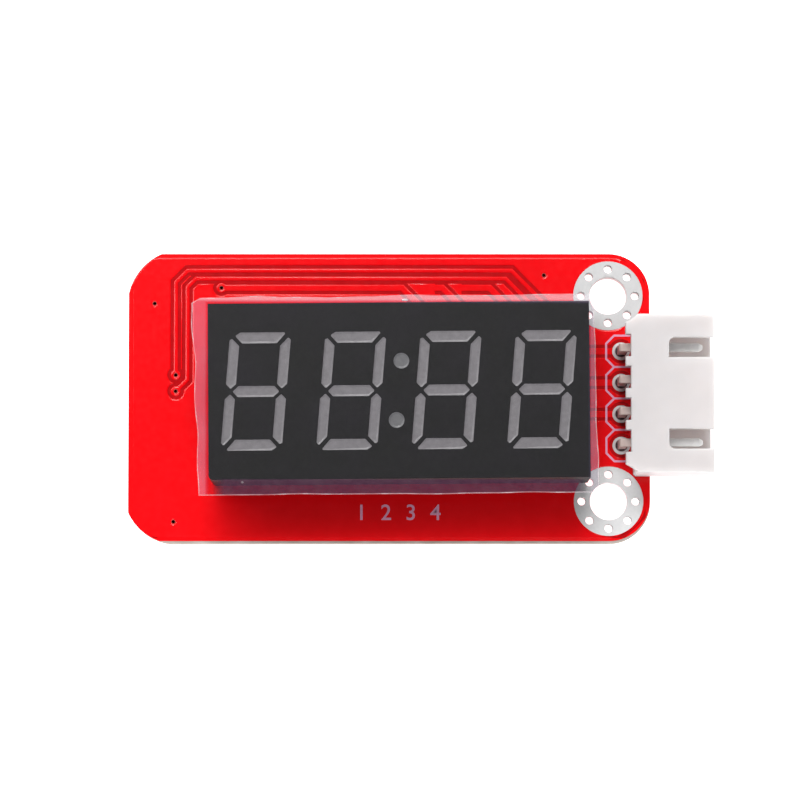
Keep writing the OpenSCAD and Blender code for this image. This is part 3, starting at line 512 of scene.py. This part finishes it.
def level_flats(piece, area=0.3):
    """Keeps flats above an area, in square millimetres, even where they meet a rounded edge."""
    start_edit(piece)
    pick(piece, "faces", lambda face: (
        max(abs(part) for part in face.normal) > 0.9999 and face.calc_area() > area * MM * MM
    ))
    bpy.ops.mesh.faces_shade_flat()
    end_edit()


SHARP = math.radians(40)


def rounded_copy(node, name, width, segments):
    """A CAD node's shape with its sharp outer edges rounded over."""
    piece = joined_copy(node, name, node == "board_core")
    bpy.ops.mesh.select_all(action="SELECT")
    bpy.ops.mesh.dissolve_limited(angle_limit=SAME_PLANE)
    if width:
        bpy.ops.mesh.select_mode(type="EDGE")
        pick(piece, "edges", lambda edge: (
            len(edge.link_faces) == 2 and edge.calc_face_angle(0) >= SHARP and edge.is_convex
        ))
        bpy.ops.mesh.bevel(
            offset=width * MM, segments=segments, affect="EDGES", clamp_overlap=True
        )
    end_edit()
    smooth(piece)
    level_flats(piece)
    return piece


def finish_piece(piece, slot, *replaced):
    """Attaches a piece to the root body and hides the CAD nodes it stands for; the slot is not
    used.
    """
    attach(piece, "root")
    if replaced:
        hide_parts(*replaced)


# Solder mask, with the soft slope that it has over the edge of the copper: each step's width and
# drop, and the places past which the mask drops straight off
SLOPE_STEPS = ((0.05, 0.032), (0.05, 0.012))
STEEP_LEFT = -23.1
STEEP_RIGHT = 16.0
STEEP_FOOT = -11.1
# Along the lower edge the whole step is drawn out: where it stands and starts, its drop and its run
FOOT_STEP = -11.2
FOOT_LEFT = -21.3
STEP_DROP = 0.05
FOOT_RUN = 0.22


def sloping(place):
    """True away from the left, right and lower edges, where the mask drops straight off."""
    return STEEP_LEFT * MM < place.x < STEEP_RIGHT * MM and place.y > STEEP_FOOT * MM


def sloped_mask(node, name, top, side):
    """The mask with the rim of its raised part let down; side is 1 in front and -1 behind."""
    piece = joined_copy(node, name, trimmed=True)
    level = top * MM
    pick(piece, "faces", lambda face: (
        abs(face.calc_center_median().z - level) < SAME_PLACE and face.normal.z * side > 0.9
    ))
    for width, drop in SLOPE_STEPS:
        bpy.ops.mesh.inset(thickness=width * MM, depth=0, use_even_offset=False)
        form = bmesh.from_edit_mesh(piece.data)
        kept = {face.index for face in form.faces if face.select}
        rim = {
            v.index for v in form.verts
            if abs(v.co.z - level) < SAME_PLACE and not v.select and sloping(v.co)
        }
        bpy.ops.mesh.select_mode(type="VERT")
        pick(piece, "verts", lambda v: v.index in rim)
        bpy.ops.transform.translate(value=(0, 0, -side * drop * MM))
        bpy.ops.mesh.select_mode(type="FACE")
        pick(piece, "faces", lambda face: face.index in kept)
    bpy.ops.mesh.select_mode(type="VERT")
    pick(piece, "verts", lambda v: (
        abs(v.co.y - FOOT_STEP * MM) < 0.01 * MM and v.co.x > FOOT_LEFT * MM
        and abs(v.co.z - level + side * STEP_DROP * MM) < 2 * SAME_PLACE
    ))
    bpy.ops.transform.translate(value=(0, -FOOT_RUN * MM, 0))
    end_edit()
    smooth(piece, 50)
    level_flats(piece, 0)
    dress(piece, "red_mask")
    finish_piece(piece, "red_mask", node)


sloped_mask("solder_mask_front", "front_mask", MASK_TOP, 1)
sloped_mask("solder_mask_back", "back_mask", MASK_UNDERSIDE, -1)


# Pieces whose CAD shape only lacks its rounded edges: node, slot, the edges' width and segments.
# The board and the display keep their edges, and the board has its corners trimmed.
ROUNDED = (
    ("board_core", "laminate", 0.0, 1),
    ("mounting_ring_upper", "tinned_copper", 0.03, 2),
    ("mounting_ring_lower", "tinned_copper", 0.03, 2),
    ("socket_pads", "tinned_copper", 0.02, 1),
    ("display_pads", "tinned_copper", 0.02, 1),
    ("display_housing", "black_housing", 0.0, 1),
    ("socket_housing", "white_nylon", 0.03, 1),
    ("socket_pin_1", "pin_metal", 0.06, 2),
    ("socket_pin_2", "pin_metal", 0.06, 2),
    ("socket_pin_3", "pin_metal", 0.06, 2),
    ("socket_pin_4", "pin_metal", 0.06, 2),
    ("driver_chip", "chip_epoxy", 0.06, 2),
    ("driver_chip_leads", "pin_metal", 0.03, 2),
    ("pull_up_resistors", "white_ceramic", 0.03, 1),
    ("resistor_coatings", "resistor_glaze", 0.01, 1),
    ("resistor_end_caps", "solder", 0.02, 1),
    ("capacitors", "tan_ceramic", 0.03, 1),
    ("capacitor_end_caps", "solder", 0.02, 1),
)

for node, slot, width, segments in ROUNDED:
    rounded = rounded_copy(node, "dressed_" + node, width, segments)
    dress(rounded, slot)
    finish_piece(rounded, slot, node)


# Protective film: a wavy sheet, snipped at one corner, on the display's face
TURN = math.radians(0.47)
DISPLAY_AT = Vector((-1.63, 0.05, 11.55))


def on_display(x, y):
    """A place on the display's face, in metres, from its middle."""
    turned = (
        x * math.cos(TURN) - y * math.sin(TURN), x * math.sin(TURN) + y * math.cos(TURN), 0
    )
    return (DISPLAY_AT + Vector(turned)) * MM


# The sheet's corners, and the waves of its cut edges: place, shift and reach
FILM_CORNERS = ((-15.88, -8.21), (15.74, -8.21), (15.47, 7.56), (-16.38, 7.46))
FILM_WAVES = (
    (-16.38, 5.2, -0.1, 0.0, 1.6), (-16.2, 2.4, 0.13, 0.0, 1.8), (-16.1, -0.6, -0.06, 0.0, 1.6),
    (-16.0, -3.4, 0.1, 0.0, 1.7), (-15.9, -6.0, -0.05, 0.0, 1.4), (-11.5, 7.5, 0.0, 0.1, 2.5),
    (-5.0, 7.5, 0.0, -0.06, 3.0), (1.0, 7.5, 0.0, 0.07, 2.6), (8.0, 7.5, 0.0, -0.05, 3.0),
    (15.5, 3.5, 0.05, 0.0, 1.6), (15.6, -2.5, -0.06, 0.0, 2.0), (15.65, -5.6, 0.06, 0.0, 1.2),
    (-8.0, -8.1, 0.0, 0.05, 2.6), (3.0, -8.1, 0.0, -0.05, 3.0), (10.5, -8.1, 0.0, 0.05, 2.4),
)
FILM_RIM = 0.07
FILM_THICKNESS = 0.085
FILM_GAP = 0.012


def make_film():
    """The sheet with its waves, and its cut rim in a finish of its own."""
    bpy.ops.mesh.primitive_plane_add(size=2 * MM, location=on_display(0, 0))
    film = bpy.context.object
    film.name = "film_sheet"
    bpy.ops.object.transform_apply(location=True, rotation=True, scale=True)
    middle = on_display(0, 0)
    start_edit(film, "VERT")
    for x, y in FILM_CORNERS:
        nearest = min(film.data.vertices, key=lambda v: (
            (v.co.x - middle.x) * x < 0, (v.co.y - middle.y) * y < 0
        ))
        corner = nearest.index
        step = on_display(x, y) - nearest.co
        pick(film, "verts", lambda v: v.index == corner)
        bpy.ops.transform.translate(value=step)
    bpy.ops.mesh.select_all(action="SELECT")
    bpy.ops.mesh.subdivide(number_cuts=63)
    # the snipped corner
    bpy.ops.mesh.bisect(
        plane_co=on_display(-15.68, 7.47), plane_no=(-0.43, 0.7, 0), clear_outer=True,
        threshold=CUT_EXACTLY,
    )
    # the waves along the cut edges
    for x, y, dx, dy, reach in FILM_WAVES:
        form = bmesh.from_edit_mesh(film.data)
        place = on_display(x, y)
        rim = [v for v in form.verts if v.is_boundary]
        spot = min(rim, key=lambda v: (v.co - place).length).index
        pick(film, "verts", lambda v: v.index == spot)
        bpy.ops.transform.translate(
            value=(dx * MM, dy * MM, 0), use_proportional_edit=True,
            proportional_edit_falloff="SMOOTH", proportional_size=reach * MM,
        )
    # the rim, a narrow band of its own
    bpy.ops.mesh.select_mode(type="FACE")
    bpy.ops.mesh.select_all(action="SELECT")
    bpy.ops.mesh.inset(thickness=FILM_RIM * MM, depth=0, use_even_offset=True)
    end_edit()
    inner = {face.index for face in film.data.polygons if face.select}
    film.data.materials.append(FINISHES["clear_film"])
    film.data.materials.append(film_edge_finish())
    for face in film.data.polygons:
        face.material_index = 0 if face.index in inner else 1
    sheet = film.modifiers.new("sheet", "SOLIDIFY")
    sheet.thickness = FILM_THICKNESS * MM
    sheet.offset = 1.0
    bpy.ops.object.modifier_apply(modifier=sheet.name)
    start_edit(film)
    bpy.ops.mesh.select_all(action="SELECT")
    bpy.ops.transform.translate(value=(0, 0, FILM_GAP * MM))
    end_edit()
    smooth(film, 50)
    finish_piece(film, "clear_film", "protective_film")


make_film()


# Fill of the digits and the colon, sunk a little in the middle where it shrank as it set
SUNK_STEPS = ((0.08, 0.03), (0.08, 0.012))


def sunk_fill(node, slot):
    """The fill of every well of a node, with its top face let down in steps."""
    piece = joined_copy(node, "sunk_" + node)
    bpy.ops.mesh.dissolve_limited(angle_limit=SAME_PLANE)
    face_z = DISPLAY_AT.z * MM
    pick(piece, "faces", lambda face: (
        face.normal.z > 0.9 and abs(face.calc_center_median().z - face_z) < 0.02 * MM
    ))
    for width, drop in SUNK_STEPS:
        bpy.ops.mesh.inset(thickness=width * MM, depth=-drop * MM, use_even_offset=False)
        bpy.ops.mesh.remove_doubles(threshold=0.05 * MM)
    end_edit()
    smooth(piece, 50)
    level_flats(piece, 0)
    dress(piece, slot)
    finish_piece(piece, slot, node)


for digit in range(1, 5):
    sunk_fill("segment_lenses_digit_%d" % digit, "grey_lens")
sunk_fill("colon_lenses", "dark_lens")


# Solder, drawn up the pins in a hollow curve
FILLET_RINGS = 7
FILLET_HOLLOW = 2.2


def joints_of(node):
    """Lowest and highest corner of each loose part of a CAD node, from left to right."""
    form = bmesh.new()
    form.from_mesh(nodes[node].data)
    bmesh.ops.remove_doubles(form, verts=form.verts, dist=ONE_POINT)
    left = set(form.verts)
    found = []
    while left:
        wave = {left.pop()}
        joint = set(wave)
        while wave:
            wave = {edge.other_vert(v) for v in wave for edge in v.link_edges} - joint
            joint |= wave
        left -= joint
        places = [v.co for v in joint]
        found.append((
            Vector([min(co[i] for co in places) for i in range(3)]),
            Vector([max(co[i] for co in places) for i in range(3)]),
        ))
    form.free()
    return sorted(found, key=lambda corners: [round(part, 6) for part in corners[0]])


def fillet(x, y, z, foot, tip, rise):
    """A hollow cone of solder on a pad, upward or, with a rise below nought, downward."""
    bpy.ops.mesh.primitive_cylinder_add(
        vertices=40, radius=foot, depth=abs(rise), end_fill_type="NGON",
        location=(x, y, z + rise / 2),
    )
    cone = bpy.context.object
    bpy.ops.object.transform_apply(location=True, rotation=True, scale=True)
    start_edit(cone, "EDGE")
    pick(cone, "edges", lambda edge: (
        abs(edge.verts[0].co.z - edge.verts[1].co.z) > abs(rise) / 2
    ))
    bpy.ops.mesh.subdivide(number_cuts=FILLET_RINGS - 1)
    bpy.ops.mesh.select_mode(type="VERT")
    for ring in range(1, FILLET_RINGS + 1):
        level = z + rise * ring / FILLET_RINGS
        pick(cone, "verts", lambda v: abs(v.co.z - level) < abs(rise) * 0.02)
        width = (tip + (foot - tip) * (1 - ring / FILLET_RINGS) ** FILLET_HOLLOW) / foot
        bpy.ops.transform.resize(value=(width, width, 1), center_override=(x, y, level))
    end_edit()
    return cone


def solder_joints(node, back, front=None):
    """Back and front each give the foot, the tip and the height of a fillet."""
    cones = []
    for low, high in joints_of(node):
        x, y = (low.x + high.x) / 2, (low.y + high.y) / 2
        foot, tip, rise = [size * MM for size in back]
        cones.append(fillet(x, y, low.z + rise, foot, tip, -rise))
        if front:
            foot, tip, rise = [size * MM for size in front]
            cones.append(fillet(x, y, high.z - rise, foot, tip, rise))
    bpy.ops.object.select_all(action="DESELECT")
    for cone in cones:
        cone.select_set(True)
    bpy.context.view_layer.objects.active = cones[0]
    bpy.ops.object.join()
    joints = bpy.context.object
    joints.name = "filleted_" + node
    smooth(joints, 60)
    dress(joints, "solder")
    finish_piece(joints, "solder", node)


solder_joints("socket_solder_joints", (0.82, 0.53, 1.0), (0.68, 0.4, 0.4))
solder_joints("display_solder_joints", (0.77, 0.33, 1.0))


# Printed numbers below the display, with half the depth of their ink
INK_DEPTH = 0.006


def printed_numbers():
    """The numbers as thin ink on the mask."""
    bpy.ops.object.text_add(location=(0, 0, 0))
    text = bpy.context.object
    text.data.body = "1 2 3 4"
    text.data.size = 1.78 * MM
    text.data.space_character = 1.34
    text.data.align_x = "CENTER"
    text.data.extrude = INK_DEPTH * MM
    text.data.offset = 0.012 * MM
    text.name = "printed_numbers"
    bpy.ops.object.convert(target="MESH")
    text = bpy.context.object
    text.location = Vector((-1.67, -9.8, MASK_TOP + INK_DEPTH)) * MM
    bpy.ops.object.transform_apply(location=True, rotation=True, scale=True)
    start_edit(text)
    bpy.ops.mesh.select_all(action="SELECT")
    bpy.ops.mesh.remove_doubles(threshold=0.0002 * MM)
    end_edit()
    dress(text, "white_print")
    finish_piece(text, "white_print")


printed_numbers()


# Two specks of lint, held just under the film's clear top face
LINT_LEVEL = 11.62


def speck(name, x, y, width, length):
    """A flat lozenge of lint, lying along the film's edge."""
    bpy.ops.mesh.primitive_ico_sphere_add(
        subdivisions=2, radius=1, location=Vector((x, y, LINT_LEVEL)) * MM,
        scale=Vector((length / 2, width / 2, 0.025)) * MM,
    )
    lint = bpy.context.object
    lint.name = name
    bpy.ops.object.transform_apply(location=True, rotation=True, scale=True)
    smooth(lint, 60)
    dress(lint, "white_nylon")
    finish_piece(lint, "white_nylon")


speck("lint_upper", -1.17, 7.22, 0.18, 0.5)
speck("lint_lower", -14.0, -7.24, 0.16, 0.22)


# Floor, just clear of the lowest face
bpy.ops.mesh.primitive_plane_add(size=3, location=(0, 0, -0.05 * MM))
floor = bpy.context.object
floor.name = "floor"
floor_finish = Finish("pale_floor", Roughness=0.9, Emission_Strength=0.95)
floor_cloud = floor_finish.noise(6, 2)
floor_tone = floor_finish.mottled(floor_cloud, 0xF6F6F6, 0xFAFAFA)
floor_finish.colour(floor_tone)
floor_finish.join(floor_tone, floor_finish.shader.inputs["Emission Color"])
floor.data.materials.append(floor_finish.material)
